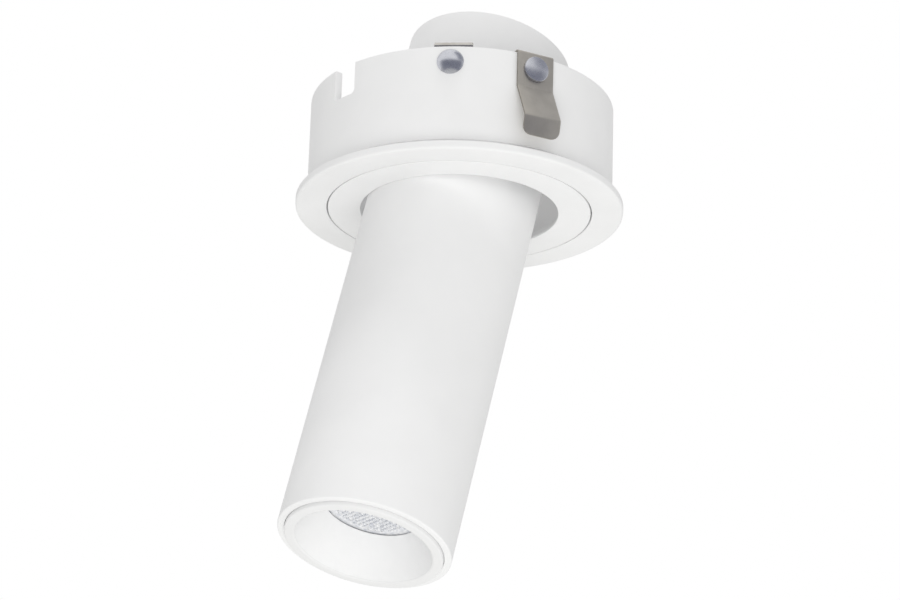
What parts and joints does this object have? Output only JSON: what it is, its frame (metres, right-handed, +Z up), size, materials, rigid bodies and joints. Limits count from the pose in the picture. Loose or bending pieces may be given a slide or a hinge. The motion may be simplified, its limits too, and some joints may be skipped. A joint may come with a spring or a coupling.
{
  "type": "recessed spotlight",
  "caption": "White recessed ceiling spotlight: a trim ring with spring clips holds a swivel ring, whose tubular lamp head turns, tilts and slides out through a guide collar.",
  "frame": {"origin": "centre of the trim ring's upper face, in the plane of the ceiling's underside", "axes": "+Z straight up into the ceiling, along the turning axis of the swivel ring; +X to the picture's right, so the picture looks along +Y from below"},
  "size_m": [0.1, 0.101, 0.1823],
  "materials": {
    "white_ring_coat": "satin",
    "white_tube_coat": "satin",
    "white_cone": "satin",
    "clip_steel": "satin",
    "strip_steel": "satin",
    "rivet_steel": "polished",
    "bracket_steel": "satin",
    "screw_steel": "satin",
    "white_collar_coat": "satin",
    "grip_rubber": "matte",
    "washer_nylon": "satin",
    "lens_acrylic": "polished",
    "holder_plastic": "matte",
    "white_plastic": "matte",
    "board_aluminium": "satin",
    "phosphor": "matte",
    "pad_silicone": "matte",
    "sink_aluminium": "satin",
    "terminal_brass": "satin",
    "red_lead": "satin",
    "black_lead": "satin",
    "white_cap": "matte"
  },
  "bodies": {
    "root": {"mounting_ring": "white_ring_coat", "retainer_strip_front": "strip_steel", "retainer_strip_rear": "strip_steel", "retainer_rivets": "rivet_steel", "clip_rivets": "rivet_steel"},
    "clip_right": {"spring_clip_right": "clip_steel"},
    "clip_left": {"spring_clip_left": "clip_steel"},
    "swivel": {"swivel_ring": "white_ring_coat", "swivel_stop_pin": "screw_steel", "pivot_bracket_front": "bracket_steel", "pivot_bracket_rear": "bracket_steel", "bracket_screws": "screw_steel"},
    "gimbal": {"guide_collar": "white_collar_coat", "grip_ring_lower": "grip_rubber", "grip_ring_upper": "grip_rubber", "pivot_screws": "screw_steel", "friction_washers": "washer_nylon"},
    "head": {"head_tube": "white_tube_coat", "anti_glare_cone": "white_cone", "holder_screws": "screw_steel", "stop_ring": "screw_steel", "cable_grommet": "grip_rubber", "lens": "lens_acrylic", "lens_holder": "holder_plastic", "led_holder": "white_plastic", "terminal_block": "white_plastic", "led_board": "board_aluminium", "led_emitter": "phosphor", "thermal_pad": "pad_silicone", "heat_sink": "sink_aluminium", "terminal_screws": "terminal_brass", "lead_positive": "red_lead", "lead_negative": "black_lead", "rear_cap": "white_cap"}
  },
  "joints": [
    {"name": "swivel_turn", "type": "hinge", "parent": "root", "child": "swivel", "pos_m": [0, 0, 0], "axis": [0, 0, 1], "range_deg": [-174, 174]},
    {"name": "head_tilt", "type": "hinge", "parent": "swivel", "child": "gimbal", "pos_m": [0, 0, 0.0098], "axis": [0.7319, -0.6814, 0], "range_deg": [0, 31.6]},
    {"name": "tube_slide", "type": "slide", "parent": "gimbal", "child": "head", "axis": [0.1855, 0.1993, 0.9622], "range_m": [0, 0.11]},
    {"name": "clip_right_flex", "type": "hinge", "parent": "root", "child": "clip_right", "pos_m": [0.02206, -0.04347, 0.021], "axis": [0.8918, 0.4524, 0], "range_deg": [0, 22], "stiffness_Nm_per_rad": 0.2, "deforming": ["spring_clip_right"]},
    {"name": "clip_left_flex", "type": "hinge", "parent": "root", "child": "clip_left", "pos_m": [-0.02206, 0.04347, 0.021], "axis": [-0.8918, -0.4524, 0], "range_deg": [0, 22], "stiffness_Nm_per_rad": 0.2, "deforming": ["spring_clip_left"]}
  ]
}
